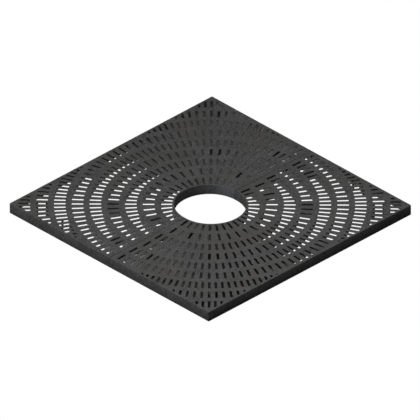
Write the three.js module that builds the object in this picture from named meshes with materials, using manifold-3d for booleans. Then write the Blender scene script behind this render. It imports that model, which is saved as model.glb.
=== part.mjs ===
// A square cast iron tree grate in two halves, bolted together round the trunk of a street tree.
// Millimetres, +Z up. The joint between the halves lies along the Y axis, the walked-on face is on top,
// and the origin is on the ground plane under the middle of the trunk opening.
import * as THREE from "three";
import { mergeGeometries, mergeVertices } from "three/addons/utils/BufferGeometryUtils.js";
import Module from "manifold-3d";

const wasm = await Module();
wasm.setup();

// Both castings together
const grateSide = 1200;
const grateDepth = 47;
const trunkOpeningDiameter = 300;
const jointGap = 3;
const rimWallThickness = 9.5;
const rimWallDraft = 1;
const jointFlangeThickness = 10;
const overrun = 1;

// Rings of radial slots, numbered outwards from the trunk. Each half has its own ring centre, set back from
// the joint.
const ringCentreSetback = 4;
const collarWidth = 8;
const ringPitch = 75;
const slotLength = 50;
const slotWidth = 12;
const slotUndercut = 4.2;
const barThickness = 5;
const borderWidth = 10.5;
const shortestSlot = 2;
const jointSlotOffset = 24;
// Steps from a half's middle line to the last slot by the joint, for each pair of rings
const slotSteps = [9, 17, 25, 35, 45];

// Deep ribs that stand between the rings, wide at the face and narrow at the ground, a little outside the
// middle of the bar between two slots
const ribTopWidth = 14;
const ribFootWidth = 9;
const ribShift = 1.5;

// Stiffening webs under some bars: ring number and slot steps from the half's middle line
const webThickness = 7;
const webFootClearance = 5;
const websAt = [
  { ring: 2, step: 0.5 },
  { ring: 2, step: 7.5 },
  { ring: 4, step: 8.5 },
  { ring: 4, step: 9.5 },
  { ring: 5, step: 22.5 },
  { ring: 6, step: 2.5 },
  { ring: 6, step: 4.5 },
];

// Pads that thicken the ribs on the inner (-1) or outer (+1) side of a ring and reach a depth in under its
// slots. Angles are in degrees from the half's middle line.
const padWidth = 54;
const padsAt = [
  { ring: 8, angle: -45.2, side: -1, depth: 9.5 },
  { ring: 8, angle: -45.2, side: 1, depth: 9.5 },
  { ring: 8, angle: 45.2, side: -1, depth: 9.5 },
  { ring: 8, angle: 45.2, side: 1, depth: 9.5 },
  { ring: 7, angle: -63.2, side: -1, depth: 6.75 },
  { ring: 7, angle: -63.2, side: 1, depth: 6.75 },
  { ring: 7, angle: 60.8, side: 1, depth: 2.25 },
];
// Round lugs under the middle of a bar, placed in slot steps like the webs
const lugDiameter = 10;
const lugsAt = [
  { ring: 7, step: -22.5 },
  { ring: 7, step: 25.5 },
];

// Openings in one arm of the joint flange, in the last ring by the rim and in the ring two further in
const flangeArchWidth = 52;
const flangeArchTopBand = 14;

// Bolted joint, M12
const innerBoltRing = 2;
const boltHeight = 21;
const boltDiameter = 12;
const boltHoleDiameter = 13.5;
const boltEndLength = 4;
const hexAcrossFlats = 19;
const headThickness = 7.5;
const nutThickness = 10.8;
const nutBoreDiameter = 12.6;
const washerDiameter = 24;
const washerBoreDiameter = 13;
const washerThickness = 2.5;
const contactPadWidth = 40;
const contactPadHeight = 30;

// Facets. The sag is how far the middle of a rib's facet may lie inside its true arc.
const ribFacetSag = 3;
const openingFacets = 48;
const boltFacets = 12;
const lugFacets = 8;
const hexSides = 6;

const halfSide = grateSide / 2;
const openingRadius = trunkOpeningDiameter / 2;
const jointFace = jointGap / 2;
const flangeFace = jointFace + jointFlangeThickness;
const barUnderside = grateDepth - barThickness;
const slotFieldEdge = halfSide - borderWidth;
const pocketEdge = halfSide - rimWallThickness;
const ringRadius = (ring) => openingRadius + collarWidth + slotLength / 2 + ringPitch * (ring - 1);
const cornerReach = Math.hypot(slotFieldEdge - ringCentreSetback, slotFieldEdge);
const ringCount = Math.ceil((cornerReach - shortestSlot - openingRadius - collarWidth) / ringPitch);
const jointRingCount = Math.floor(
  (pocketEdge - openingRadius - collarWidth + ringPitch - slotLength) / ringPitch);
const boltedRings = [innerBoltRing, jointRingCount - 1];
const flangeArchRings = [jointRingCount - 2, jointRingCount];

// Angle from one slot to the next in a ring: both rings of a pair share it.
function stepAngle(ring) {
  const pair = Math.floor((ring - 1) / 2);
  const steps = slotSteps[Math.min(pair, slotSteps.length - 1)];
  return Math.acos(jointSlotOffset / ringRadius(2 * pair + 1)) / steps;
}

function stepCount(ring) {
  const pair = Math.floor((ring - 1) / 2);
  return slotSteps[Math.min(pair, slotSteps.length - 1)];
}

// Turns a closed mesh into a solid for cutting and joining.
function solid(geometry) {
  const plain = geometry.clone();
  plain.deleteAttribute("normal");
  plain.deleteAttribute("uv");
  const merged = mergeVertices(plain);
  return new wasm.Manifold(new wasm.Mesh({
    numProp: 3,
    vertProperties: new Float32Array(merged.attributes.position.array),
    triVerts: new Uint32Array(merged.index.array),
  }));
}

function solidGeometry(shape) {
  const mesh = shape.getMesh();
  const geometry = new THREE.BufferGeometry();
  geometry.setAttribute("position", new THREE.BufferAttribute(new Float32Array(mesh.vertProperties), 3));
  geometry.setIndex(new THREE.BufferAttribute(new Uint32Array(mesh.triVerts), 1));
  const faceted = geometry.toNonIndexed();
  faceted.computeVertexNormals();
  return faceted;
}

// The same faceted shape on the other side of the joint, with its faces still pointing out
function mirrored(geometry) {
  const source = geometry.attributes.position;
  const copy = geometry.clone();
  const places = copy.attributes.position;
  for (let face = 0; face < places.count; face += 3) {
    for (const [to, from] of [[face, face], [face + 1, face + 2], [face + 2, face + 1]]) {
      places.setXYZ(to, -source.getX(from), source.getY(from), source.getZ(from));
    }
  }
  copy.computeVertexNormals();
  return copy;
}

// A block between two corners, whose lower edges can stand out by a draft.
function block(low, high, draft = 0) {
  const size = new THREE.Vector3().subVectors(high, low);
  const middle = new THREE.Vector3().addVectors(high, low).divideScalar(2);
  const geometry = new THREE.BoxGeometry(size.x, size.y, size.z);
  const places = geometry.attributes.position;
  for (let i = 0; i < places.count; i += 1) {
    const spread = places.getZ(i) < 0 ? draft : 0;
    places.setX(i, places.getX(i) + Math.sign(places.getX(i)) * spread);
    places.setY(i, places.getY(i) + Math.sign(places.getY(i)) * spread);
  }
  return geometry.translate(middle.x, middle.y, middle.z);
}

// Moves a shape made on the half's middle line out to a radius and angle of the ring pattern.
function onRing(geometry, radius, angle) {
  geometry.translate(radius, 0, 0);
  geometry.rotateZ(angle);
  return geometry.translate(ringCentreSetback, 0, 0);
}

// How much of a slot's length lies inside the plain border
function lengthInside(radius, angle) {
  const toSide = (slotFieldEdge - ringCentreSetback) / Math.cos(angle);
  const toEnd = slotFieldEdge / Math.abs(Math.sin(angle));
  return Math.min(radius + slotLength / 2, toSide, toEnd) - (radius - slotLength / 2);
}

// One slot: as wide as named at the face, and wider below, where the bars on both sides taper to an edge.
function slotCutter() {
  const geometry = new THREE.BoxGeometry(slotLength, slotWidth, barThickness);
  geometry.translate(0, 0, (grateDepth + barUnderside) / 2);
  const places = geometry.attributes.position;
  const slope = slotUndercut / barThickness;
  for (let i = 0; i < places.count; i += 1) {
    const sideways = (grateDepth - places.getZ(i)) * slope;
    places.setY(i, places.getY(i) + Math.sign(places.getY(i)) * sideways);
  }
  return geometry;
}

function slots() {
  const cutters = [];
  for (let ring = 1; ring <= ringCount; ring += 1) {
    const steps = stepCount(ring);
    for (let step = -steps; step <= steps; step += 1) {
      const angle = step * stepAngle(ring);
      if (lengthInside(ringRadius(ring), angle) >= shortestSlot) {
        cutters.push(onRing(slotCutter(), ringRadius(ring), angle));
      }
    }
  }
  const field = block(
    new THREE.Vector3(jointFace, -slotFieldEdge, 0),
    new THREE.Vector3(slotFieldEdge, slotFieldEdge, grateDepth + overrun));
  return solid(mergeGeometries(cutters)).intersect(solid(field));
}

// The hollow below the bars of one ring, a full turn round
function ringHollow(ring) {
  const top = (ringPitch - ribTopWidth) / 2;
  const foot = (ringPitch - ribFootWidth) / 2;
  const radius = ringRadius(ring) + ribShift;
  const collar = openingRadius + collarWidth;
  const profile = [
    new THREE.Vector2(Math.max(radius - foot, collar), -overrun),
    new THREE.Vector2(radius + foot, -overrun),
    new THREE.Vector2(radius + top, barUnderside),
    new THREE.Vector2(Math.max(radius - top, collar), barUnderside),
    new THREE.Vector2(Math.max(radius - foot, collar), -overrun),
  ];
  const facetPairs = Math.ceil(Math.PI / Math.acos(1 - ribFacetSag / (radius + top)) / 2);
  const geometry = new THREE.LatheGeometry(profile, 2 * facetPairs);
  geometry.rotateX(Math.PI / 2);
  return geometry.translate(ringCentreSetback, 0, 0);
}

// An upright block in the half's own ring pattern, between two radii and as wide as named
function upright(innerRadius, outerRadius, width, angle, low) {
  const middle = (innerRadius + outerRadius) / 2;
  const reach = (outerRadius - innerRadius) / 2;
  return solid(onRing(block(
    new THREE.Vector3(-reach, -width / 2, low),
    new THREE.Vector3(reach, width / 2, barUnderside + overrun)), middle, angle));
}

function webs() {
  const pieces = [];
  for (const { ring, step } of websAt) {
    const inner = ringRadius(ring) - ringPitch / 2;
    for (const angle of [-step * stepAngle(ring), step * stepAngle(ring)]) {
      pieces.push(upright(inner, inner + ringPitch, webThickness, angle, webFootClearance));
    }
  }
  return pieces;
}

function padsAndLugs() {
  const low = -2 * overrun;
  const high = barUnderside + overrun;
  const pieces = [];
  for (const { ring, angle, side, depth } of padsAt) {
    const ribMiddle = ringRadius(ring) + side * ringPitch / 2;
    const face = ringRadius(ring) + side * (slotLength / 2 - depth);
    const turn = THREE.MathUtils.degToRad(angle);
    pieces.push(upright(Math.min(ribMiddle, face), Math.max(ribMiddle, face), padWidth, turn, low));
  }
  for (const { ring, step } of lugsAt) {
    const lug = new THREE.CylinderGeometry(lugDiameter / 2, lugDiameter / 2, high - low, lugFacets);
    lug.rotateX(Math.PI / 2);
    lug.translate(0, 0, (high + low) / 2);
    pieces.push(solid(onRing(lug, ringRadius(ring), step * stepAngle(ring))));
  }
  return pieces;
}

function hollows() {
  const rings = [];
  for (let ring = 1; ring <= ringCount; ring += 1) {
    rings.push(ringHollow(ring));
  }
  const inside = block(
    new THREE.Vector3(flangeFace, -pocketEdge, -overrun),
    new THREE.Vector3(pocketEdge, pocketEdge, barUnderside + overrun), rimWallDraft);
  const standing = [...webs(), ...padsAndLugs()].reduce((whole, piece) => whole.add(piece));
  return solid(mergeGeometries(rings)).intersect(solid(inside)).subtract(standing);
}

// Where a ring's middle meets the joint flange, on the half with y above zero
function jointPlace(ring) {
  return Math.sqrt(ringRadius(ring) ** 2 - ringCentreSetback ** 2);
}

function flangeArches() {
  return solid(mergeGeometries(flangeArchRings.map((ring) => block(
    new THREE.Vector3(-overrun, jointPlace(ring) - flangeArchWidth / 2, -overrun),
    new THREE.Vector3(
      flangeFace + overrun, jointPlace(ring) + flangeArchWidth / 2, grateDepth - flangeArchTopBand)))));
}

function boltHoles() {
  const holes = [];
  for (const ring of boltedRings) {
    for (const side of [-1, 1]) {
      const length = flangeFace + 2 * overrun;
      const radius = boltHoleDiameter / 2;
      const hole = new THREE.CylinderGeometry(radius, radius, length, boltFacets);
      hole.rotateZ(Math.PI / 2);
      holes.push(hole.translate(flangeFace / 2, side * jointPlace(ring), boltHeight));
    }
  }
  return solid(mergeGeometries(holes));
}

// Raised pads round the bolts, where the two flanges bear on each other
function contactPads() {
  const pads = [];
  for (const ring of boltedRings) {
    for (const side of [-1, 1]) {
      const y = side * jointPlace(ring);
      pads.push(block(
        new THREE.Vector3(0, y - contactPadWidth / 2, boltHeight - contactPadHeight / 2),
        new THREE.Vector3(jointFace + overrun, y + contactPadWidth / 2, boltHeight + contactPadHeight / 2)));
    }
  }
  return solid(mergeGeometries(pads));
}

function halfCasting() {
  const low = new THREE.Vector3(jointFace, -halfSide, 0);
  const high = new THREE.Vector3(halfSide, halfSide, grateDepth);
  const openingLength = grateDepth + 2 * overrun;
  const opening = new THREE.CylinderGeometry(openingRadius, openingRadius, openingLength, openingFacets);
  opening.rotateX(Math.PI / 2);
  opening.translate(ringCentreSetback, 0, grateDepth / 2);
  return solid(block(low, high))
    .subtract(solid(opening))
    .subtract(hollows())
    .subtract(slots())
    .subtract(flangeArches())
    .add(contactPads())
    .subtract(boltHoles());
}

function hexShape() {
  const corner = hexAcrossFlats / 2 / Math.cos(Math.PI / hexSides);
  const shape = new THREE.Shape();
  for (let i = 0; i < hexSides; i += 1) {
    const angle = i * 2 * Math.PI / hexSides;
    if (i === 0) {
      shape.moveTo(corner * Math.cos(angle), corner * Math.sin(angle));
    } else {
      shape.lineTo(corner * Math.cos(angle), corner * Math.sin(angle));
    }
  }
  shape.closePath();
  return shape;
}

function bored(shape, diameter) {
  const bore = new THREE.Path();
  bore.absarc(0, 0, diameter / 2, 0, 2 * Math.PI, true);
  shape.holes.push(bore);
  return shape;
}

function extruded(shape, thickness) {
  const settings = { depth: thickness, bevelEnabled: false, curveSegments: boltFacets / 2 };
  return new THREE.ExtrudeGeometry(shape, settings);
}

// Along the bolt, measured from the joint: washers bear on the flanges, the head and the nut on the washers.
const headSeat = flangeFace + washerThickness;
const boltEnd = headSeat + nutThickness + boltEndLength;

function boltGeometry() {
  const head = extruded(hexShape(), headThickness).translate(0, 0, -headSeat - headThickness);
  const shankStart = -headSeat - headThickness / 2;
  const radius = boltDiameter / 2;
  const shank = new THREE.CylinderGeometry(radius, radius, boltEnd - shankStart, boltFacets);
  shank.rotateX(Math.PI / 2);
  shank.translate(0, 0, (boltEnd + shankStart) / 2);
  return solidGeometry(solid(head).add(solid(shank)));
}

function nutGeometry() {
  return extruded(bored(hexShape(), nutBoreDiameter), nutThickness).translate(0, 0, headSeat);
}

function washerGeometry(start) {
  const disc = new THREE.Shape();
  disc.absarc(0, 0, washerDiameter / 2, 0, 2 * Math.PI, false);
  return extruded(bored(disc, washerBoreDiameter), washerThickness).translate(0, 0, start);
}

const castIron = new THREE.MeshStandardMaterial({ color: 0x4b4a48, roughness: 0.75, metalness: 0.45 });
const zincSteel = new THREE.MeshStandardMaterial({ color: 0x8d8f90, roughness: 0.45, metalness: 0.9 });

function named(name, geometry, material) {
  const mesh = new THREE.Mesh(geometry, material);
  mesh.name = name;
  return mesh;
}

const grate = new THREE.Group();
const rightHalf = solidGeometry(halfCasting());
grate.add(
  named("right_half", rightHalf, castIron),
  named("left_half", mirrored(rightHalf), castIron));

// Each bolt set stands across the joint with its head in the left half and its nut in the right half.
let setNumber = 0;
for (const side of [-1, 1]) {
  for (const ring of boltedRings) {
    setNumber += 1;
    const boltSet = new THREE.Group();
    boltSet.add(
      named(`joint_bolt_${setNumber}`, boltGeometry(), zincSteel),
      named(`joint_nut_${setNumber}`, nutGeometry(), zincSteel),
      named(`head_washer_${setNumber}`, washerGeometry(-headSeat), zincSteel),
      named(`nut_washer_${setNumber}`, washerGeometry(flangeFace), zincSteel));
    boltSet.rotation.y = Math.PI / 2;
    boltSet.position.set(0, side * jointPlace(ring), boltHeight);
    grate.add(boltSet);
  }
}

export default grate;
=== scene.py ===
"""Dresses a two-piece cast iron tree grate with finer castings, joint bolts, finishes and a stage.

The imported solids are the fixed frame. Lengths are in metres, +Z is up, the joint lies along the Y axis and
the grate stands on the ground plane.
"""

import math

import bmesh
import bpy
from bpy.props import FloatProperty, FloatVectorProperty, IntProperty, PointerProperty
from mathutils import Matrix, Vector


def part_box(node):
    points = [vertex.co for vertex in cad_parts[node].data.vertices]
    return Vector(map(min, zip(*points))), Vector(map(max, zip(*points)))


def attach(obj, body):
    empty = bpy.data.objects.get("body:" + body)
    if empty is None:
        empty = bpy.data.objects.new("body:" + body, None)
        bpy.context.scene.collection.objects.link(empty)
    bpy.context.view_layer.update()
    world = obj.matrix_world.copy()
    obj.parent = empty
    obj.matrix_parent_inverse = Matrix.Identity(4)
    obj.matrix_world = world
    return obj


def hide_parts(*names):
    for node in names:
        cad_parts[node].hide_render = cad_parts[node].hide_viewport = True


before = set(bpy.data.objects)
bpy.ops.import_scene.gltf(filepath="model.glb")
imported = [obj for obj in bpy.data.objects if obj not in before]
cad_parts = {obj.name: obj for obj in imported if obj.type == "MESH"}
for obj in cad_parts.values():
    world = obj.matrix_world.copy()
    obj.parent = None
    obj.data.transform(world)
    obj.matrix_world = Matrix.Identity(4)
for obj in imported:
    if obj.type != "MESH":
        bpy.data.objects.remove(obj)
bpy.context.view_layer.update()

bl_info = {
    "name": "Cast iron tree grate",
    "version": (1, 0, 0),
    "blender": (4, 5, 0),
    "location": "3D View > Sidebar > Tree Grate",
    "description": "Makes the castings, joint bolts, finishes and stage of a two-piece tree grate",
    "category": "Object",
}

MM = 0.001

# The grate as packed
HALF_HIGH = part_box("right_half")[1]
HALF_SIDE = HALF_HIGH.x
DEPTH = HALF_HIGH.z
BOLT_SETS = (1, 2, 3, 4)
BOLT_BOXES = [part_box(f"joint_bolt_{number}") for number in BOLT_SETS]
BOLT_PLACES = [((low.y + high.y) / 2, (low.z + high.z) / 2) for low, high in BOLT_BOXES]

# Both castings: each half ends just short of the joint, with nearly sharp edges there
OPENING_RADIUS = 150 * MM
JOINT_FACE = 0.8 * MM
JOINT_EDGE_SHARE = 0.3
FLANGE_FACE = 11.5 * MM
RIM_WALL = 9.5 * MM
RIM_DRAFT = 1 * MM

# How far a cutter runs on past what it cuts
OVERRUN = 1 * MM

# Rings of radial slots round a centre that is set back from the joint
RING_CENTRE = 4 * MM
COLLAR_RADIUS = 158 * MM
RING_PITCH = 75 * MM
RING_COUNT = 9
SLOT_LENGTH = 50 * MM
SLOT_WIDTH = 12.4 * MM
SLOT_UNDERCUT = 4.3 * MM
SLOT_END_UNDERCUT = 1.5 * MM
BAR_EDGE = 2.2 * MM
BAR_THICKNESS = 5 * MM
BORDER = 10.5 * MM
SHORTEST_SLOT = 2 * MM

# Steps from the middle of a half to its last slot by the joint, for each pair of rings
SLOT_STEPS = (9, 17, 25, 35, 45)
JOINT_SLOT_OFFSET = 24 * MM

# Deep ribs between the rings
RIB_TOP = 14 * MM
RIB_FOOT = 9.8 * MM

# Webs and lugs by ring and slot step, pads by ring, angle in degrees, sides and reach from the ring
WEB_THICKNESS = 7 * MM
WEB_FOOT = 5 * MM
WEBS_AT = ((2, 0.5), (2, 7.5), (4, 8.5), (4, 9.5), (5, 22.5), (6, 2.5), (6, 4.5))
LUG_RADIUS = 5 * MM
LUGS_AT = ((7, -22.5), (7, 25.5))
PAD_WIDTH = 54 * MM
PADS_AT = (
    (8, -45.2, (-1, 1), 15.5 * MM),
    (8, 45.2, (-1, 1), 15.5 * MM),
    (7, -63.2, (-1, 1), 18.25 * MM),
    (7, 60.8, (1,), 22.75 * MM),
)

# The joint flange
ARCH_RINGS = (4, 6)
ARCH_WIDTH = 52 * MM
ARCH_HEIGHT = 33 * MM
BOLT_HOLE_RADIUS = 6.75 * MM
CONTACT_WIDTH = 40 * MM
CONTACT_HEIGHT = 30 * MM

# Facets of rounded edges and corners, the opening's being finer than those of the ribs
EDGE_TURNS = (90, 62, 32, 0)
ARC_MIDDLE = 1 - math.cos(math.pi / 4)
FOOT_MIDDLE = 0.3
SLOT_CORNER_SEGMENTS = 3
OUTER_CORNER_SEGMENTS = 5
OUTER_CORNERS_ONLY = (False, True, True, False)
OPENING_FINENESS = 4
LUG_POINTS = 20

# Angles over which an edge is shaded sharp, and the least upward share of the normal of a level face
CAST_CREASE = math.radians(32)
ZINC_CREASE = math.radians(25)
LEVEL_NORMAL = 0.999

# Joint bolts
HEAD_THICKNESS = 7.5 * MM
HEX_FLATS = 19 * MM
HEX_FACE_SHARE = 0.94
HEX_CHAMFER = math.radians(30)
BOLT_RADIUS = 6 * MM
THREAD_DEPTH = 0.95 * MM
THREAD_STEPS = 8
NUT_BORE_RADIUS = 6.3 * MM
NUT_LEAD = 0.5 * MM
WASHER_BORE_RADIUS = 6.5 * MM
WASHER_EDGE = 0.4 * MM

# Noise layers of a cast surface: scale beside the sand grain, detail and roughness
SAND_GRAIN = (1.0, 3.0, 0.6)
SWELLS = (0.11, 2.0, 0.5)
MOTTLE = (0.27, 5.0, 0.72)
PATCHES = (0.03, 3.0, 0.55)
PIT_SCALE = 0.42
PIT_SPAN = (0.05, 0.28)
HEIGHT_SHARES = (0.55, 0.3, 0.15)
TONE_SHARES = (0.2, 0.65, 0.15)
TONE_SPAN = (0.3, 0.7)

# Dust film: detail and roughness of its noise, where it shows, and how much of it lies on walls
DUST_BROAD = (4.0, 0.55)
DUST_FINE = (3.0, 0.6)
DUST_FINENESS = 14.0
DUST_SHARES = (0.75, 0.25)
DUST_SPAN = (0.44, 0.66)
DUST_TILT = (0.1, 1.0)
DUST_ON_WALLS = 0.35

# Edge wear: depth in edge sizes, upward tilt of the worn faces, and the noise that breaks it up
WEAR_DEPTH = (1.6, 0.8)
WEAR_LEAST_TILT = (0.05, 0.3)
WEAR_MOST_TILT = (0.995, 0.93)
WEAR_NOISE = (60.0, 4.0, 0.65)
WEAR_SPAN = (0.38, 0.62)
WEAR_IN_GAPS = 0.2

# Painted shade on the slot walls, ribs and underside: how deep under the sides, the opening and the face it
# starts
SIDE_SKIN = (2 * MM, 4 * MM)
OPENING_SKIN = (6 * MM, 8 * MM)
FACE_SKIN = (0.3 * MM, 1.5 * MM)

# Iron finish: tones and tints as shares of the coat's colour, with painted light that lightens level faces
# and painted shade that darkens the slot walls, ribs and underside, then what dust and wear do to it
IRON_TONES = (0.28, 1.68)
TOP_LIGHT_SPAN = (0.6, 0.95)
PAINTED_TOP_LIGHT = (1.22, 1.22, 1.22)
PAINTED_SHADE_TINT = (0.6, 0.6, 0.6)
IRON_DUST = 0.5
IRON_WEAR = 0.35
IRON_ROUGHNESS = (0.72, 0.6)
DUST_ROUGHNESS = 0.12
WEAR_POLISH = 0.15
WEAR_METALLIC = 0.5
IRON_SPECULAR = 0.35
IRON_BUMP = (0.6, 0.4 * MM)

# Zinc finish
ZINC_GRAINS = 1400.0
ZINC_DUST_PATCHES = 60.0
ZINC_TONES = (0.75, 1.15)
ZINC_DUST = 0.55
ZINC_DUST_COLOUR = (0.16, 0.145, 0.12)
ZINC_METALLIC = (0.95, 0.3)
ZINC_ROUGHNESS = (0.48, 0.34)
ZINC_BUMP = (0.3, 0.08 * MM)

# The floor lies just clear of the rib feet, and its glow grows from right to left
FLOOR_GAP = 0.4 * MM
FLOOR_REACH = 30.0
FLOOR_POINTS = 48
GLOW_INNER_RADIUS = 1.1 * OPENING_RADIUS
GLOW_OUTER_REACH = HALF_SIDE - 2 * RIM_WALL
GLOW_SPAN = (0.55, -0.55)
GLOW_SHARES = (1.0, 2.6)

# Soft lights: place, aim, size and colour
WHITE = (1.0, 1.0, 1.0)
LIGHTS = {
    "key": ((-2.57, -6.64, 6.87), (0, 0, 0), (4.0, 4.0), WHITE),
    "near": ((1.19, -0.18, 2.29), (0, 0, 0), (0.9, 0.9), WHITE),
    "back": ((-3.4, 4.6, 0.022), (0, 0, 0.022), (2.0, 0.03), WHITE),
    "under": ((-1.0, -1.1, -0.7), (0, 0, 0), (2.0, 1.0), WHITE),
    "inner": ((-0.036, 0.1, 0.012), (-0.05, 0.14, 0.03), (0.05, 0.02), (0.7, 0.85, 1.0)),
}

# The middle of the face stands this many pixels right of and above the middle of the frame
FRAME_PIXELS = 420
FACE_RIGHT = 0.335
FACE_ABOVE = 5.755
CAMERA_DISTANCE = 3


class CastingSettings(bpy.types.PropertyGroup):
    """Sizes and colours of the two cast halves"""

    edge_round: FloatProperty(
        name="Edge rounding",
        description="How far the cast edges of the walked-on face are rounded",
        default=1.1 * MM,
        min=0.2 * MM,
        max=2 * MM,
        subtype="DISTANCE",
        unit="LENGTH",
    )
    slot_round: FloatProperty(
        name="Slot edge reach",
        description="How far the rounded upper edge of a slot reaches in from its outline",
        default=0.55 * MM,
        min=0.2 * MM,
        max=1.5 * MM,
        subtype="DISTANCE",
        unit="LENGTH",
    )
    slot_round_depth: FloatProperty(
        name="Slot edge depth",
        description="How deep the rounded upper edge of a slot reaches",
        default=0.9 * MM,
        min=0.2 * MM,
        max=2 * MM,
        subtype="DISTANCE",
        unit="LENGTH",
    )
    foot_round: FloatProperty(
        name="Rib foot rounding",
        description="How far the feet of the ribs are rounded",
        default=1.5 * MM,
        min=0.4 * MM,
        max=3.5 * MM,
        subtype="DISTANCE",
        unit="LENGTH",
    )
    slot_corner: FloatProperty(
        name="Slot corner radius",
        description="Radius of the corners of each slot",
        default=2.2 * MM,
        min=1 * MM,
        max=4 * MM,
        subtype="DISTANCE",
        unit="LENGTH",
    )
    outer_corner: FloatProperty(
        name="Outer corner radius",
        description="Radius of the upright corners of the grate",
        default=3.5 * MM,
        min=2.5 * MM,
        max=12 * MM,
        subtype="DISTANCE",
        unit="LENGTH",
    )
    rib_fillet: FloatProperty(
        name="Rib fillet",
        description="Fillet between the ribs and the underside of the bars",
        default=3 * MM,
        min=0.5 * MM,
        max=4 * MM,
        subtype="DISTANCE",
        unit="LENGTH",
    )
    facet_length: FloatProperty(
        name="Arc facet length",
        description="Length of the flat facets along the arcs",
        default=18 * MM,
        min=5 * MM,
        max=40 * MM,
        subtype="DISTANCE",
        unit="LENGTH",
    )
    iron_colour: FloatVectorProperty(
        name="Iron colour",
        description="Colour of the dull black dip coat on the iron",
        default=(0.066, 0.0665, 0.0675),
        min=0,
        max=1,
        size=3,
        subtype="COLOR",
    )
    worn_colour: FloatVectorProperty(
        name="Worn colour",
        description="Colour of the bared iron along worn edges",
        default=(0.1, 0.1, 0.1),
        min=0,
        max=1,
        size=3,
        subtype="COLOR",
    )
    dust_colour: FloatVectorProperty(
        name="Dust colour",
        description="Colour of the thin film of brown dust",
        default=(0.074, 0.069, 0.058),
        min=0,
        max=1,
        size=3,
        subtype="COLOR",
    )
    grain_size: FloatProperty(
        name="Grain size",
        description="Size of the sand grain left by the mould",
        default=2.2 * MM,
        min=0.5 * MM,
        max=10 * MM,
        subtype="DISTANCE",
        unit="LENGTH",
    )


class FastenerSettings(bpy.types.PropertyGroup):
    """Sizes and colours of the bolts, nuts and washers of the joint"""

    thread_pitch: FloatProperty(
        name="Thread pitch",
        description="Pitch of the thread on the bolt ends",
        default=1.75 * MM,
        min=1 * MM,
        max=3 * MM,
        subtype="DISTANCE",
        unit="LENGTH",
    )
    round_points: IntProperty(
        name="Points round",
        description="Points round each bolt, nut and washer, in whole sixths of a turn",
        default=36,
        min=12,
        max=96,
        step=6,
    )
    zinc_colour: FloatVectorProperty(
        name="Zinc colour",
        description="Colour of the dulled zinc plating",
        default=(0.42, 0.42, 0.41),
        min=0,
        max=1,
        size=3,
        subtype="COLOR",
    )


class StageSettings(bpy.types.PropertyGroup):
    """Camera, floor and light"""

    azimuth: FloatProperty(
        name="Azimuth",
        description="Turn of the camera round the grate",
        default=math.radians(45.47),
        subtype="ANGLE",
        unit="ROTATION",
    )
    elevation: FloatProperty(
        name="Elevation",
        description="Height of the camera above the horizon",
        default=math.radians(32.53),
        subtype="ANGLE",
        unit="ROTATION",
    )
    view_width: FloatProperty(
        name="View width",
        description="Width of what the camera sees",
        default=1.7731,
        min=0.1,
        max=10,
        subtype="DISTANCE",
        unit="LENGTH",
    )
    floor_colour: FloatVectorProperty(
        name="Floor colour",
        description="Colour of the floor as the grate sees it",
        default=(0.12, 0.12, 0.12),
        min=0,
        max=1,
        size=3,
        subtype="COLOR",
    )
    glow: FloatProperty(
        name="Glow below",
        description="Strength of the soft light that comes up through the grate",
        default=0.12,
        min=0,
        max=5,
    )
    key_power: FloatProperty(
        name="Key light",
        description="Power of the far light over the left of the grate",
        default=660,
        min=0,
        max=5000,
        unit="POWER",
    )
    near_power: FloatProperty(
        name="Near light",
        description="Power of the light over the near corner of the grate",
        default=22,
        min=0,
        max=2000,
        unit="POWER",
    )
    back_power: FloatProperty(
        name="Back light",
        description="Power of the low light behind the grate, which reaches its far walls",
        default=110,
        min=0,
        max=2000,
        unit="POWER",
    )
    under_power: FloatProperty(
        name="Light below",
        description="Power of the light that comes up from the left front under the grate",
        default=65,
        min=0,
        max=2000,
        unit="POWER",
    )
    inner_power: FloatProperty(
        name="Opening light",
        description="Power of the small cool light on the far wall of the trunk opening",
        default=0.009,
        min=0,
        max=1,
        precision=4,
        unit="POWER",
    )
    sky_strength: FloatProperty(
        name="Sky light",
        description="Strength of the even light from all round",
        default=0.03,
        min=0,
        max=5,
    )


class Shells:
    """Points and faces of closed shells, which become one mesh"""

    def __init__(self):
        self.points = []
        self.faces = []

    def add(self, outlines, capped=True):
        """Adds a shell through equal outlines, closed by flat caps or round to its first outline."""
        first = len(self.points)
        count = len(outlines[0])
        for outline in outlines:
            self.points.extend(outline)
        starts = [first + count * level for level in range(len(outlines))]
        bands = list(zip(starts, starts[1:]))
        if not capped:
            bands.append((starts[-1], starts[0]))
        for low, high in bands:
            for point in range(count):
                after = (point + 1) % count
                self.faces.append((low + point, low + after, high + after, high + point))
        if capped:
            self.faces.append([starts[0] + point for point in reversed(range(count))])
            self.faces.append([starts[-1] + point for point in range(count)])

    def to_object(self, name):
        """Makes the mesh object with its faces pointing out."""
        mesh = bpy.data.meshes.new(name)
        mesh.from_pydata(self.points, [], self.faces)
        work = bmesh.new()
        work.from_mesh(mesh)
        bmesh.ops.recalc_face_normals(work, faces=work.faces)
        work.to_mesh(mesh)
        work.free()
        made = bpy.data.objects.new(name, mesh)
        bpy.context.scene.collection.objects.link(made)
        return made


def ring_radius(ring):
    return COLLAR_RADIUS + SLOT_LENGTH / 2 + RING_PITCH * (ring - 1)


def step_count(ring):
    return SLOT_STEPS[(ring - 1) // 2]


def step_angle(ring):
    """Angle from one slot to the next: both rings of a pair share it."""
    pair_start = ring - (ring - 1) % 2
    return math.acos(JOINT_SLOT_OFFSET / ring_radius(pair_start)) / step_count(ring)


def circle(radius, height, count, centre=0.0):
    return [
        Vector((centre + radius * math.cos(turn), radius * math.sin(turn), height))
        for turn in (math.tau * point / count for point in range(count))
    ]


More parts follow.
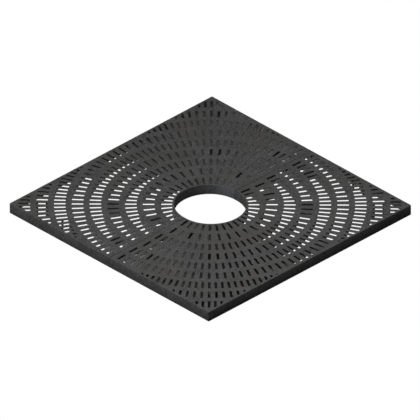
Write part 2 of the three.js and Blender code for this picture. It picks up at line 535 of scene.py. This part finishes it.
def rounded_outline(low, high, height, radius, segments, rounded=(True, True, True, True)):
    """A rectangle from above, corners in turn from the lowest x and y, each rounded or left sharp."""
    corners = ((low[0], low[1], 180), (high[0], low[1], 270), (high[0], high[1], 0), (low[0], high[1], 90))
    outline = []
    for (x, y, start), is_round in zip(corners, rounded):
        if not is_round:
            outline.append(Vector((x, y, height)))
            continue
        middle_x = x + math.copysign(radius, (low[0] + high[0]) / 2 - x)
        middle_y = y + math.copysign(radius, (low[1] + high[1]) / 2 - y)
        for step in range(segments + 1):
            turn = math.radians(start) + math.pi / 2 * step / segments
            outline.append(Vector((
                middle_x + radius * math.cos(turn), middle_y + radius * math.sin(turn), height)))
    return outline


def rectangle(low, high, height):
    """A rectangle from above with sharp corners"""
    return rounded_outline(low, high, height, 0, 1, (False,) * 4)


def rounding(across, down):
    """Growth and drop of a cutter through a rounded upper edge, from the wall up and on past the face"""
    turns = [math.radians(turn) for turn in EDGE_TURNS]
    return [
        *((across * (1 - math.sin(turn)), down * (1 - math.cos(turn))) for turn in turns),
        (across + 3 * OVERRUN, -OVERRUN),
    ]


def on_ring(outline, radius, angle):
    """Moves points made round the origin out to a place in the ring pattern."""
    move = (
        Matrix.Translation((RING_CENTRE, 0, 0))
        @ Matrix.Rotation(angle, 4, "Z")
        @ Matrix.Translation((radius, 0, 0))
    )
    return [move @ point for point in outline]


def length_inside(radius, angle):
    """How much of a slot's length lies inside the plain border"""
    edge = HALF_SIDE - BORDER
    to_side = (edge - RING_CENTRE) / math.cos(angle)
    to_end = edge / abs(math.sin(angle)) if angle else to_side
    return min(radius + SLOT_LENGTH / 2, to_side, to_end) - (radius - SLOT_LENGTH / 2)


def slot_outline(length_grow, width_grow, height, corner):
    x = SLOT_LENGTH / 2 + length_grow
    y = SLOT_WIDTH / 2 + width_grow
    return rounded_outline((-x, -y), (x, y), height, corner, SLOT_CORNER_SEGMENTS)


def slot_cutters(settings):
    """All slots of a half, tapering to a knife edge between them and rounded at the face"""
    shells = Shells()
    inset = settings.slot_round
    corner = settings.slot_corner
    levels = [
        slot_outline(SLOT_END_UNDERCUT - inset, SLOT_UNDERCUT - inset, DEPTH - BAR_THICKNESS, corner),
        slot_outline(-inset, -inset, DEPTH - BAR_EDGE, corner),
    ]
    for grow, drop in rounding(inset, settings.slot_round_depth):
        levels.append(slot_outline(grow - inset, grow - inset, DEPTH - drop, corner + grow))
    for ring in range(1, RING_COUNT + 1):
        for step in range(-step_count(ring), step_count(ring) + 1):
            angle = step * step_angle(ring)
            if length_inside(ring_radius(ring), angle) >= SHORTEST_SLOT:
                shells.add([on_ring(level, ring_radius(ring), angle) for level in levels])
    return shells.to_object("slots")


def slot_field(settings):
    """The space inside the plain border, which the slots at the edges of the grate are cut to"""
    edge = HALF_SIDE - BORDER
    levels = []
    for grow, drop in ((0.0, DEPTH), *rounding(settings.edge_round, settings.edge_round)):
        reach = edge + grow
        levels.append(rounded_outline(
            (FLANGE_FACE, -reach), (reach, reach), DEPTH - drop,
            settings.slot_corner, SLOT_CORNER_SEGMENTS, OUTER_CORNERS_ONLY))
    shells = Shells()
    shells.add(levels)
    return shells.to_object("field")


def ring_hollows(settings):
    """The channels under the bars, between the ribs"""
    ceiling = DEPTH - BAR_THICKNESS
    fillet = settings.rib_fillet
    softened = fillet * ARC_MIDDLE
    shells = Shells()
    for ring in range(1, RING_COUNT + 1):
        radius = ring_radius(ring)
        top = (RING_PITCH - RIB_TOP) / 2
        foot = (RING_PITCH - RIB_FOOT) / 2
        outer = (
            (radius + foot + settings.foot_round + OVERRUN, -OVERRUN),
            (radius + foot + FOOT_MIDDLE * settings.foot_round, FOOT_MIDDLE * settings.foot_round),
            (radius + foot, settings.foot_round),
            (radius + top, ceiling - fillet),
            (radius + top - softened, ceiling - softened),
            (radius + top - fillet, ceiling),
        )
        inner = [(2 * radius - place, height) for place, height in reversed(outer)]
        if ring == 1:
            inner = [(max(place, COLLAR_RADIUS), height) for place, height in inner]
        count = 2 * round(math.pi * radius / settings.facet_length)
        shells.add([
            circle(place, height, count, RING_CENTRE) for place, height in (*outer, *inner)], capped=False)
    return shells.to_object("hollows")


def hollow_field(settings):
    """The space inside the rim walls and the joint flange"""
    edge = settings.edge_round
    reach = HALF_SIDE - RIM_WALL
    levels = []
    for height, grow in (
        (-OVERRUN, RIM_DRAFT + edge + OVERRUN),
        (edge, RIM_DRAFT),
        (DEPTH - BAR_THICKNESS + OVERRUN, 0.0),
    ):
        levels.append(rounded_outline(
            (FLANGE_FACE - grow, -reach - grow), (reach + grow, reach + grow), height,
            2 * settings.rib_fillet, SLOT_CORNER_SEGMENTS))
    shells = Shells()
    shells.add(levels)
    return shells.to_object("inside")


def standing_pieces():
    """Webs, pads and lugs, which are left standing in the hollows"""
    shells = Shells()
    high = DEPTH - BAR_THICKNESS + OVERRUN
    low = -2 * OVERRUN

    def upright(inner, outer, width, angle, foot):
        half = (outer - inner) / 2
        shells.add([
            on_ring(
                rectangle((-half, -width / 2), (half, width / 2), height),
                (inner + outer) / 2, angle)
            for height in (foot, high)])

    for ring, step in WEBS_AT:
        inner = ring_radius(ring) - RING_PITCH / 2
        for side in (-1, 1):
            upright(inner, inner + RING_PITCH, WEB_THICKNESS, side * step * step_angle(ring), WEB_FOOT)
    for ring, angle, sides, reach in PADS_AT:
        for side in sides:
            rib = ring_radius(ring) + side * RING_PITCH / 2
            face = ring_radius(ring) + side * reach
            upright(min(rib, face), max(rib, face), PAD_WIDTH, math.radians(angle), low)
    for ring, step in LUGS_AT:
        shells.add([
            on_ring(circle(LUG_RADIUS, height, LUG_POINTS), ring_radius(ring), step * step_angle(ring))
            for height in (low, high)])
    return shells.to_object("standing")


def joint_place(ring):
    """Where a ring's middle meets the joint"""
    return math.sqrt(ring_radius(ring) ** 2 - RING_CENTRE ** 2)


def box_shell(shells, low, high):
    shells.add([rectangle(low, high, height) for height in (low[2], high[2])])


def flange_arches():
    shells = Shells()
    for ring in ARCH_RINGS:
        y = joint_place(ring)
        box_shell(shells, (-OVERRUN, y - ARCH_WIDTH / 2, -OVERRUN),
                  (FLANGE_FACE + OVERRUN, y + ARCH_WIDTH / 2, ARCH_HEIGHT))
    return shells.to_object("arches")


def contact_pads():
    shells = Shells()
    for y, z in BOLT_PLACES:
        box_shell(shells, (0, y - CONTACT_WIDTH / 2, z - CONTACT_HEIGHT / 2),
                  (JOINT_FACE + OVERRUN, y + CONTACT_WIDTH / 2, z + CONTACT_HEIGHT / 2))
    return shells.to_object("contacts")


def across_joint(outline, y, z):
    """Turns points made along Z to lie along X at a bolt's place."""
    move = Matrix.Translation((0, y, z)) @ Matrix.Rotation(math.pi / 2, 4, "Y")
    return [move @ point for point in outline]


def bolt_holes(points):
    shells = Shells()
    for y, z in BOLT_PLACES:
        shells.add([
            across_joint(circle(BOLT_HOLE_RADIUS, reach, points), y, z)
            for reach in (-OVERRUN, FLANGE_FACE + OVERRUN)])
    return shells.to_object("holes")


def opening_cutter(settings):
    """The half of the trunk opening, rounded at its upper and lower edges"""
    count = OPENING_FINENESS * round(math.tau * OPENING_RADIUS / settings.facet_length)
    upper = rounding(settings.edge_round, settings.edge_round)
    levels = [
        circle(OPENING_RADIUS + grow, drop, count, RING_CENTRE) for grow, drop in reversed(upper)]
    levels += [
        circle(OPENING_RADIUS + grow, DEPTH - drop, count, RING_CENTRE) for grow, drop in upper]
    shells = Shells()
    shells.add(levels)
    return shells.to_object("opening")


def plain_block(settings):
    """A half before it is cut, with its outer edges rounded"""
    size = settings.edge_round
    half = size * ARC_MIDDLE
    insets = ((0, size), (half, half), (size, 0))
    levels = []
    for height, inset in (
        *((drop, inset) for drop, inset in insets),
        *((DEPTH - drop, inset) for drop, inset in reversed(insets)),
    ):
        levels.append(rounded_outline(
            (JOINT_FACE + JOINT_EDGE_SHARE * inset, -HALF_SIDE + inset),
            (HALF_SIDE - inset, HALF_SIDE - inset), height,
            settings.outer_corner - inset, OUTER_CORNER_SEGMENTS, OUTER_CORNERS_ONLY))
    shells = Shells()
    shells.add(levels)
    return shells.to_object("block")


def combine(target, *steps):
    """Cuts, keeps or joins with each tool in turn, and removes the tools."""
    for operation, tool in steps:
        modifier = target.modifiers.new(operation.lower(), "BOOLEAN")
        modifier.operation = operation
        modifier.solver = "MANIFOLD"
        modifier.object = tool
    graph = bpy.context.evaluated_depsgraph_get()
    old = target.data
    target.data = bpy.data.meshes.new_from_object(target.evaluated_get(graph))
    target.modifiers.clear()
    bpy.data.meshes.remove(old)
    for _, tool in steps:
        bpy.data.meshes.remove(tool.data)
    if not target.data.polygons:
        raise RuntimeError(f"nothing is left of {target.name}")
    return target


def shade(mesh, limit):
    """Smooth faces, with sharp edges at corners over the limit and round flat level faces"""
    mesh.shade_smooth()
    mesh.set_sharp_from_angle(angle=limit)
    level = {
        edge for face in mesh.polygons if abs(face.normal.z) > LEVEL_NORMAL for edge in face.edge_keys}
    sharp = mesh.attributes.get("sharp_edge") or mesh.attributes.new("sharp_edge", "BOOLEAN", "EDGE")
    for edge in mesh.edges:
        if edge.key in level:
            sharp.data[edge.index].value = True


def finish_piece(piece, name, nodes, material):
    """Names a finished piece, gives it its material and puts it in place of its CAD nodes."""
    piece.name = name
    piece.data.name = name
    piece.data.materials.clear()
    piece.data.materials.append(material)
    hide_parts(*nodes)
    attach(piece, "root")


def add_node(tree, kind, inputs=None, **settings):
    """Adds a node with its settings, and links or sets the inputs that are named."""
    made = tree.nodes.new(kind)
    for key, value in settings.items():
        setattr(made, key, value)
    for key, value in (inputs or {}).items():
        if isinstance(value, bpy.types.NodeSocket):
            tree.links.new(value, made.inputs[key])
        else:
            made.inputs[key].default_value = value
    return made


def new_group(name, inputs, outputs):
    """A shader node group whose inputs and outputs are given as name: default number, or name: Vector"""
    group = bpy.data.node_groups.new(name, "ShaderNodeTree")
    for direction, sockets in (("INPUT", inputs), ("OUTPUT", outputs)):
        for key, default in sockets.items():
            kind = "NodeSocketVector" if default is Vector else "NodeSocketFloat"
            socket = group.interface.new_socket(key, in_out=direction, socket_type=kind)
            if kind == "NodeSocketFloat" and direction == "INPUT":
                socket.default_value = default
    given = group.nodes.new("NodeGroupInput").outputs
    results = group.nodes.new("NodeGroupOutput").inputs
    return group, given, results


def noise(tree, place, scale, detail, roughness):
    return add_node(
        tree, "ShaderNodeTexNoise",
        {"Vector": place, "Scale": scale, "Detail": detail, "Roughness": roughness}).outputs["Fac"]


def split(tree, vector):
    return add_node(tree, "ShaderNodeSeparateXYZ", {0: vector}).outputs


def maths(tree, operation, first, second=0.0, clamp=False):
    made = add_node(tree, "ShaderNodeMath", {0: first, 1: second}, operation=operation, use_clamp=clamp)
    return made.outputs[0]


def weighted(tree, values, shares):
    """Adds up values, each times its share."""
    total, *others = [maths(tree, "MULTIPLY", value, share) for value, share in zip(values, shares)]
    for part in others:
        total = maths(tree, "ADD", total, part)
    return total


def between(tree, value, span, results=(0.0, 1.0)):
    """Maps a value smoothly from one span to another."""
    return add_node(
        tree, "ShaderNodeMapRange",
        {"Value": value, 1: span[0], 2: span[1], 3: results[0], 4: results[1]},
        interpolation_type="SMOOTHSTEP").outputs["Result"]


def casting_grain_group(name):
    """Sand grain, pits and slow swells of a cast surface, as a height and a tone"""
    group, given, results = new_group(
        name, {"Place": Vector, "Grains per metre": 450.0}, {"Height": 0.5, "Tone": 0.5})
    place, scale = given["Place"], given["Grains per metre"]
    grain, swells, mottle, patches = [
        noise(group, place, maths(group, "MULTIPLY", scale, coarseness), detail, roughness)
        for coarseness, detail, roughness in (SAND_GRAIN, SWELLS, MOTTLE, PATCHES)
    ]
    pit_scale = maths(group, "MULTIPLY", scale, PIT_SCALE)
    cells = add_node(group, "ShaderNodeTexVoronoi", {"Vector": place, "Scale": pit_scale})
    pits = between(group, cells.outputs["Distance"], PIT_SPAN)
    group.links.new(weighted(group, (grain, swells, pits), HEIGHT_SHARES), results["Height"])
    group.links.new(weighted(group, (grain, mottle, patches), TONE_SHARES), results["Tone"])
    return group


def dust_film_group(name):
    """Where a thin brown film lies: in broad patches, more on level faces than on walls"""
    group, given, results = new_group(
        name, {"Place": Vector, "Direction": Vector, "Patches per metre": 5.0}, {"Mask": 0.0})
    place, scale = given["Place"], given["Patches per metre"]
    broad = noise(group, place, scale, *DUST_BROAD)
    fine = noise(group, place, maths(group, "MULTIPLY", scale, DUST_FINENESS), *DUST_FINE)
    patches = between(group, weighted(group, (broad, fine), DUST_SHARES), DUST_SPAN)
    lying = between(group, split(group, given["Direction"])["Z"], DUST_TILT, (DUST_ON_WALLS, 1.0))
    group.links.new(maths(group, "MULTIPLY", patches, lying, True), results["Mask"])
    return group


def edge_wear_group(name):
    """Worn iron along the rounded upper edges, broken up by noise"""
    group, given, results = new_group(
        name, {"Place": Vector, "Direction": Vector, "Face height": 0.047, "Edge": 0.0011}, {"Mask": 0.0})
    drop = maths(group, "SUBTRACT", given["Face height"], split(group, given["Place"])["Z"])
    near_face = between(group, maths(group, "DIVIDE", drop, given["Edge"]), WEAR_DEPTH)
    up = split(group, given["Direction"])["Z"]
    tilted = maths(
        group, "MULTIPLY", between(group, up, WEAR_LEAST_TILT), between(group, up, WEAR_MOST_TILT))
    patches = noise(group, given["Place"], *WEAR_NOISE)
    broken = between(group, patches, WEAR_SPAN, (WEAR_IN_GAPS, 1.0))
    mask = maths(group, "MULTIPLY", maths(group, "MULTIPLY", near_face, tilted), broken, True)
    group.links.new(mask, results["Mask"])
    return group


def recess_shade_group(name):
    """Painted shade on the slot walls, ribs and underside, which are darker than the outside"""
    group, given, results = new_group(
        name, {"Place": Vector, "Face height": 0.047, "Half side": 0.6, "Opening": 0.15}, {"Mask": 0.0})
    place = split(group, given["Place"])
    across = maths(group, "ABSOLUTE", place["X"])
    along = maths(group, "ABSOLUTE", place["Y"])
    from_side = maths(group, "SUBTRACT", given["Half side"], maths(group, "MAXIMUM", across, along))
    squares = [maths(group, "MULTIPLY", reach, reach) for reach in (across, along)]
    from_middle = maths(group, "POWER", maths(group, "ADD", *squares), 0.5)
    from_opening = maths(group, "SUBTRACT", from_middle, given["Opening"])
    below = maths(group, "SUBTRACT", given["Face height"], place["Z"])
    inside = maths(
        group, "MULTIPLY", between(group, from_side, SIDE_SKIN), between(group, from_opening, OPENING_SKIN))
    mask = maths(group, "MULTIPLY", inside, between(group, below, FACE_SKIN), True)
    group.links.new(mask, results["Mask"])
    return group


FINISH_GROUPS = {
    "Casting grain": casting_grain_group,
    "Dust film": dust_film_group,
    "Edge wear": edge_wear_group,
    "Painted recess shade": recess_shade_group,
}


def use_group(tree, name, inputs):
    """Places a shared node group, which is built when it is first asked for."""
    group = bpy.data.node_groups.get(name) or FINISH_GROUPS[name](name)
    return add_node(tree, "ShaderNodeGroup", inputs, node_tree=group).outputs


def new_material(name):
    material = bpy.data.materials.new(name)
    material.use_nodes = True
    tree = material.node_tree
    tree.nodes.clear()
    return material, tree


def new_finish(name):
    """A material with its shader, and the place and direction of each point of the surface"""
    material, tree = new_material(name)
    shader = add_node(tree, "ShaderNodeBsdfPrincipled")
    add_node(tree, "ShaderNodeOutputMaterial", {"Surface": shader.outputs[0]})
    place = add_node(tree, "ShaderNodeTexCoord").outputs["Object"]
    direction = add_node(tree, "ShaderNodeNewGeometry").outputs["Normal"]
    return material, tree, shader.inputs, place, direction


def mix_colours(tree, share, first, second, blend="MIX"):
    """Mixes two colours, given as sockets or as three numbers, by a share."""
    inputs = {0: share}
    for key, colour in ((6, first), (7, second)):
        inputs[key] = colour if isinstance(colour, bpy.types.NodeSocket) else (*colour, 1.0)
    made = add_node(tree, "ShaderNodeMix", inputs, data_type="RGBA", blend_type=blend, clamp_factor=True)
    return made.outputs[2]


def toned(tree, tone, colour, shares):
    """A colour that varies by the tone between a dark and a pale share of itself"""
    dark, pale = [[share * channel for channel in colour] for share in shares]
    return mix_colours(tree, between(tree, tone, TONE_SPAN), dark, pale)


def add_bump(tree, shader, height, strength, distance):
    bump = add_node(tree, "ShaderNodeBump", {"Height": height, "Strength": strength, "Distance": distance})
    tree.links.new(bump.outputs["Normal"], shader["Normal"])


def cast_iron_material(settings):
    """Grainy iron in a dull black coat, dusty in patches and worn along its upper edges, with painted light
    on its level faces and painted shade on its slot walls, ribs and underside
    """
    material, tree, shader, place, direction = new_finish("cast_iron")
    grain = use_group(tree, "Casting grain", {"Place": place, "Grains per metre": 1 / settings.grain_size})
    dust = use_group(tree, "Dust film", {"Place": place, "Direction": direction})["Mask"]
    wear = use_group(tree, "Edge wear", {
        "Place": place, "Direction": direction, "Face height": DEPTH, "Edge": settings.edge_round})["Mask"]
    # Painted shade darkens the slot walls, ribs and underside below the face
    recess_shade = use_group(tree, "Painted recess shade", {
        "Place": place, "Face height": DEPTH, "Half side": HALF_SIDE, "Opening": OPENING_RADIUS})["Mask"]
    # Level faces are lightened by painted light
    level = between(tree, split(tree, direction)["Z"], TOP_LIGHT_SPAN)
    colour = toned(tree, grain["Tone"], settings.iron_colour, IRON_TONES)
    for share, layer, blend in (
        (level, PAINTED_TOP_LIGHT, "MULTIPLY"),
        (recess_shade, PAINTED_SHADE_TINT, "MULTIPLY"),
        (maths(tree, "MULTIPLY", dust, IRON_DUST), settings.dust_colour, "MIX"),
        (maths(tree, "MULTIPLY", wear, IRON_WEAR), settings.worn_colour, "MIX"),
    ):
        colour = mix_colours(tree, share, colour, layer, blend)
    tree.links.new(colour, shader["Base Color"])
    roughness = between(tree, grain["Tone"], TONE_SPAN, IRON_ROUGHNESS)
    roughness = maths(tree, "ADD", roughness, maths(tree, "MULTIPLY", dust, DUST_ROUGHNESS))
    roughness = maths(tree, "SUBTRACT", roughness, maths(tree, "MULTIPLY", wear, WEAR_POLISH))
    tree.links.new(roughness, shader["Roughness"])
    tree.links.new(maths(tree, "MULTIPLY", wear, WEAR_METALLIC), shader["Metallic"])
    shader["Specular IOR Level"].default_value = IRON_SPECULAR
    add_bump(tree, shader, grain["Height"], *IRON_BUMP)
    return material


def zinc_steel_material(settings):
    """Dulled zinc plating, less metallic where dust lies on it"""
    material, tree, shader, place, direction = new_finish("zinc_steel")
    grain = use_group(tree, "Casting grain", {"Place": place, "Grains per metre": ZINC_GRAINS})
    dust = use_group(tree, "Dust film", {
        "Place": place, "Direction": direction, "Patches per metre": ZINC_DUST_PATCHES})["Mask"]
    colour = toned(tree, grain["Tone"], settings.zinc_colour, ZINC_TONES)
    colour = mix_colours(tree, maths(tree, "MULTIPLY", dust, ZINC_DUST), colour, ZINC_DUST_COLOUR)
    tree.links.new(colour, shader["Base Color"])
    tree.links.new(between(tree, dust, (0.0, 1.0), ZINC_METALLIC), shader["Metallic"])
    tree.links.new(between(tree, grain["Tone"], TONE_SPAN, ZINC_ROUGHNESS), shader["Roughness"])
    add_bump(tree, shader, grain["Height"], *ZINC_BUMP)
    return material


class TREEGRATE_OT_castings(bpy.types.Operator):
    """Makes the two cast halves with their slots, ribs, webs and rounded edges"""

    bl_idname = "treegrate.castings"
    bl_label = "Cast halves"

    def execute(self, context):
        settings = context.scene.tree_grate_casting
        slots = combine(slot_cutters(settings), ("INTERSECT", slot_field(settings)))
        hollows = combine(
            ring_hollows(settings), ("INTERSECT", hollow_field(settings)), ("DIFFERENCE", standing_pieces()))
        right = combine(
            plain_block(settings),
            ("DIFFERENCE", opening_cutter(settings)),
            ("DIFFERENCE", hollows),
            ("DIFFERENCE", slots),
            ("DIFFERENCE", flange_arches()),
            ("UNION", contact_pads()),
            ("DIFFERENCE", bolt_holes(context.scene.tree_grate_fasteners.round_points)),
        )
        mesh = right.data.copy()
        mesh.transform(Matrix.Scale(-1, 4, (1, 0, 0)))
        mesh.flip_normals()
        left = bpy.data.objects.new("left", mesh)
        context.scene.collection.objects.link(left)
        iron = cast_iron_material(settings)
        for piece, side in ((left, "left"), (right, "right")):
            shade(piece.data, CAST_CREASE)
            finish_piece(piece, f"{side}_casting", [f"{side}_half"], iron)
        return {"FINISHED"}


def hex_outline(height, points):
    """Six-sided outline with a corner at angle nought"""
    outline = []
    for point in range(points):
        turn = math.tau * point / points
        radius = HEX_FLATS / 2 / math.cos(turn % (math.pi / 3) - math.pi / 6)
        outline.append(Vector((radius * math.cos(turn), radius * math.sin(turn), height)))
    return outline


def chamfered_end(end, inwards, points):
    """The round end face of a hexagon and its chamfered upper outline, from the end inwards"""
    face = HEX_FACE_SHARE * HEX_FLATS / 2
    outline = hex_outline(end, points)
    for point in outline:
        point.z += inwards * (math.hypot(point.x, point.y) - face) * math.tan(HEX_CHAMFER)
    return [circle(face, end, points), outline]


def thread_outlines(start, end, pitch, points):
    """A screw thread that fades in at its start and is pointed at its end"""
    steps = round(THREAD_STEPS * (end - start) / pitch)
    outlines = []
    for step in range(steps + 1):
        height = start + (end - start) * step / steps
        fade = min(1.0, (height - start) / pitch)
        outline = []
        for point in range(points):
            turn = math.tau * point / points
            phase = (height / pitch - turn / math.tau) % 1.0
            radius = BOLT_RADIUS - THREAD_DEPTH * fade * (1 - abs(2 * phase - 1))
            radius = min(radius, BOLT_RADIUS - THREAD_DEPTH + (end - height))
            outline.append(Vector((radius * math.cos(turn), radius * math.sin(turn), height)))
        outlines.append(outline)
    return outlines


def place_shell(outlines, number, capped, name):
    y, z = BOLT_PLACES[number - 1]
    shells = Shells()
    shells.add([across_joint(outline, y, z) for outline in outlines], capped)
    return shells.to_object(name)


def bolt_piece(number, settings):
    points = settings.round_points
    low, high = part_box(f"joint_bolt_{number}")
    seat = low.x + HEAD_THICKNESS
    nut_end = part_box(f"joint_nut_{number}")[1].x
    outlines = [
        *chamfered_end(low.x, 1, points),
        hex_outline(seat, points),
        circle(BOLT_RADIUS, seat, points),
        *thread_outlines(nut_end - settings.thread_pitch, high.x, settings.thread_pitch, points),
    ]
    return place_shell(outlines, number, True, "bolt")


def nut_piece(number, settings):
    points = settings.round_points
    low, high = (corner.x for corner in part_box(f"joint_nut_{number}"))
    outlines = [
        circle(NUT_BORE_RADIUS + NUT_LEAD, low, points),
        *chamfered_end(low, 1, points),
        *reversed(chamfered_end(high, -1, points)),
        circle(NUT_BORE_RADIUS + NUT_LEAD, high, points),
        circle(NUT_BORE_RADIUS, high - NUT_LEAD, points),
        circle(NUT_BORE_RADIUS, low + NUT_LEAD, points),
    ]
    return place_shell(outlines, number, False, "nut")


def washer_piece(node, number, settings):
    points = settings.round_points
    low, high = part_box(node)
    radius = (high.z - low.z) / 2
    outlines = [
        circle(WASHER_BORE_RADIUS, low.x, points),
        circle(radius - WASHER_EDGE, low.x, points),
        circle(radius, low.x + WASHER_EDGE, points),
        circle(radius, high.x - WASHER_EDGE, points),
        circle(radius - WASHER_EDGE, high.x, points),
        circle(WASHER_BORE_RADIUS, high.x, points),
    ]
    return place_shell(outlines, number, False, "washer")


class TREEGRATE_OT_fasteners(bpy.types.Operator):
    """Makes the bolts, nuts and washers that join the two halves"""

    bl_idname = "treegrate.fasteners"
    bl_label = "Joint bolts"

    def execute(self, context):
        settings = context.scene.tree_grate_fasteners
        zinc = zinc_steel_material(settings)
        for number in BOLT_SETS:
            made = {
                f"joint_bolt_{number}": bolt_piece(number, settings),
                f"joint_nut_{number}": nut_piece(number, settings),
            }
            for node in (f"head_washer_{number}", f"nut_washer_{number}"):
                made[node] = washer_piece(node, number, settings)
            for node, piece in made.items():
                piece.data.shade_smooth()
                piece.data.set_sharp_from_angle(angle=ZINC_CREASE)
                finish_piece(piece, f"{node}_zinc", [node], zinc)
        return {"FINISHED"}


def floor_material(name, kind, colour, lets_light_up=False):
    """White to the camera, as on a light table, see-through from below, and the shader to other rays"""
    material, tree = new_material(name)
    white = add_node(tree, "ShaderNodeEmission", {"Color": (*WHITE, 1), "Strength": 1.0})
    other = add_node(tree, kind, {"Color": colour})
    clear = add_node(tree, "ShaderNodeBsdfTransparent")
    rays = add_node(tree, "ShaderNodeLightPath").outputs
    below = add_node(tree, "ShaderNodeNewGeometry").outputs["Backfacing"]
    covers = [(rays["Is Camera Ray"], white), (below, clear)]
    if lets_light_up:
        covers.append((rays["Is Shadow Ray"], clear))
    surface = other.outputs[0]
    for share, shader in covers:
        mix = add_node(tree, "ShaderNodeMixShader", {0: share, 1: surface, 2: shader.outputs[0]})
        surface = mix.outputs[0]
    add_node(tree, "ShaderNodeOutputMaterial", {"Surface": surface})
    return material, tree, other


def glow_material(strength):
    """The floor under the castings, whose glow grows from the right half to the left half"""
    material, tree, emission = floor_material("floor_glow", "ShaderNodeEmission", (*WHITE, 1), True)
    across = split(tree, add_node(tree, "ShaderNodeTexCoord").outputs["Object"])["X"]
    growing = between(tree, across, GLOW_SPAN, [share * strength for share in GLOW_SHARES])
    tree.links.new(growing, emission.inputs["Strength"])
    return material


def floor_mesh():
    """A wide plane, with the part under the castings as faces of their own"""
    count = FLOOR_POINTS
    loops = []
    for reach, square in ((GLOW_INNER_RADIUS, False), (GLOW_OUTER_REACH, True), (FLOOR_REACH, True)):
        loop = []
        for point in circle(reach, 0, count):
            stretch = reach / max(abs(point.x), abs(point.y)) if square else 1
            loop.append(point * stretch)
        loops.append(loop)
    faces = [list(range(count))]
    for start in (0, count):
        for point in range(count):
            after = (point + 1) % count
            faces.append((start + point, start + count + point, start + count + after, start + after))
    mesh = bpy.data.meshes.new("floor")
    mesh.from_pydata([point for loop in loops for point in loop], [], faces)
    for face in mesh.polygons[1:count + 1]:
        face.material_index = 1
    return mesh


def add_floor(settings):
    """A pale floor that shows white, with a soft glow under the castings"""
    mesh = floor_mesh()
    mesh.materials.append(floor_material("floor", "ShaderNodeBsdfDiffuse", (*settings.floor_colour, 1))[0])
    mesh.materials.append(glow_material(settings.glow))
    floor = bpy.data.objects.new("floor", mesh)
    floor.location.z = -FLOOR_GAP
    bpy.context.scene.collection.objects.link(floor)
    return floor


def studio_world(strength):
    """Even light from all round, which the camera sees as white"""
    world = bpy.data.worlds.new("studio")
    world.use_nodes = True
    tree = world.node_tree
    tree.nodes.clear()
    camera_ray = add_node(tree, "ShaderNodeLightPath").outputs["Is Camera Ray"]
    shown = between(tree, camera_ray, (0.0, 1.0), (strength, 1.0))
    sky = add_node(tree, "ShaderNodeBackground", {"Color": (*WHITE, 1), "Strength": shown})
    add_node(tree, "ShaderNodeOutputWorld", {"Surface": sky.outputs[0]})
    return world


def add_area_light(name, power):
    place, aim, size, colour = LIGHTS[name]
    light = bpy.data.lights.new(name, "AREA")
    light.shape = "RECTANGLE"
    light.size, light.size_y = size
    light.energy = power
    light.color = colour
    made = bpy.data.objects.new(name, light)
    made.location = place
    made.rotation_euler = (Vector(place) - Vector(aim)).to_track_quat("Z", "Y").to_euler()
    made.visible_camera = False
    bpy.context.scene.collection.objects.link(made)


def add_camera(azimuth, elevation, view_width):
    """A camera without perspective at the photo's viewing angle"""
    back = Vector((
        math.sin(azimuth) * math.cos(elevation),
        -math.cos(azimuth) * math.cos(elevation),
        math.sin(elevation)))
    across = Vector((math.cos(azimuth), math.sin(azimuth), 0))
    up = back.cross(across)
    pixel = view_width / FRAME_PIXELS
    aim = Vector((0, 0, DEPTH)) - across * FACE_RIGHT * pixel - up * FACE_ABOVE * pixel
    data = bpy.data.cameras.new("camera")
    data.type = "ORTHO"
    data.ortho_scale = view_width
    camera = bpy.data.objects.new("camera", data)
    camera.location = aim + CAMERA_DISTANCE * back
    camera.rotation_euler = back.to_track_quat("Z", "Y").to_euler()
    bpy.context.scene.collection.objects.link(camera)
    return camera


class TREEGRATE_OT_stage(bpy.types.Operator):
    """Makes the pale floor, the soft lights and the camera"""

    bl_idname = "treegrate.stage"
    bl_label = "Stage"

    def execute(self, context):
        scene = context.scene
        settings = scene.tree_grate_stage
        floor = add_floor(settings)
        scene.world = studio_world(settings.sky_strength)
        for name, power in (
            ("key", settings.key_power),
            ("near", settings.near_power),
            ("back", settings.back_power),
            ("under", settings.under_power),
            ("inner", settings.inner_power),
        ):
            add_area_light(name, power)
        scene.camera = add_camera(settings.azimuth, settings.elevation, settings.view_width)
        scene.view_settings.view_transform = "Standard"
        scene.view_settings.look = "None"
        return {"FINISHED"}


class TREEGRATE_PT_panel(bpy.types.Panel):
    """Lists the pieces of the grate with their settings"""

    bl_idname = "TREEGRATE_PT_panel"
    bl_label = "Tree Grate"
    bl_space_type = "VIEW_3D"
    bl_region_type = "UI"
    bl_category = "Tree Grate"

    def draw(self, context):
        for operator, group in (
            (TREEGRATE_OT_castings, context.scene.tree_grate_casting),
            (TREEGRATE_OT_fasteners, context.scene.tree_grate_fasteners),
            (TREEGRATE_OT_stage, context.scene.tree_grate_stage),
        ):
            column = self.layout.box().column()
            column.operator(operator.bl_idname)
            for name in group.__annotations__:
                column.prop(group, name)


SETTINGS = {
    "tree_grate_casting": CastingSettings,
    "tree_grate_fasteners": FastenerSettings,
    "tree_grate_stage": StageSettings,
}
CLASSES = (
    CastingSettings,
    FastenerSettings,
    StageSettings,
    TREEGRATE_OT_castings,
    TREEGRATE_OT_fasteners,
    TREEGRATE_OT_stage,
    TREEGRATE_PT_panel,
)


def register():
    for entry in CLASSES:
        bpy.utils.register_class(entry)
    for name, group in SETTINGS.items():
        setattr(bpy.types.Scene, name, PointerProperty(type=group))


def unregister():
    for name in SETTINGS:
        delattr(bpy.types.Scene, name)
    for entry in reversed(CLASSES):
        bpy.utils.unregister_class(entry)


def main():
    register()
    bpy.ops.treegrate.castings()
    bpy.ops.treegrate.fasteners()
    bpy.ops.treegrate.stage()


if __name__ == "__main__":
    main()
